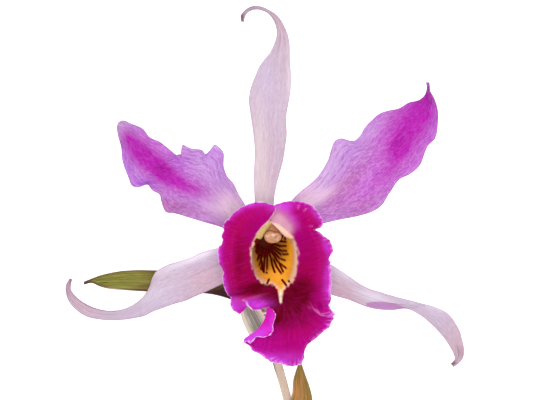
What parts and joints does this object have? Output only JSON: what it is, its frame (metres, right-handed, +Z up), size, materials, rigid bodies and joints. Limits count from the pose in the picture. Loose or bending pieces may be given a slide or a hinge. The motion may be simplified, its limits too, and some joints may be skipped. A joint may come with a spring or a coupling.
{
  "type": "cattleya orchid flower",
  "caption": "Cattleya orchid bloom with narrow twisted sepals, broad petals and a ruffled lip, cut with a short stem and lying on its back.",
  "frame": {"origin": "centre of the bloom's bounding box, on the surface that it lies on", "axes": "+Z up, out of the bloom's face; +Y along the dorsal sepal, away from the cut stem; +X to the right as the bloom faces the viewer"},
  "size_m": [0.1551, 0.1591, 0.0589],
  "materials": {
    "petal": "soft lilac petal, magenta towards the tip",
    "sepal": "soft pale pink-lilac sepal",
    "lip": "velvety deep magenta with a yellow throat",
    "column": "waxy cream and peach",
    "pedicel": "smooth green stalk",
    "stem": "dry beige stalk",
    "bract": "olive bract with brown edges",
    "dry_bract": "dry grey striped sheath"
  },
  "bodies": {
    "root": {"dorsal_sepal": "sepal", "sepal_left": "sepal", "sepal_right": "sepal", "petal_left": "petal", "petal_right": "petal", "lip": "lip", "column": "column", "anther_cap": "column", "ovary": "pedicel", "peduncle": "stem", "floral_bract": "bract", "dry_sheath": "dry_bract", "stem_sheath": "bract"}
  },
  "joints": []
}
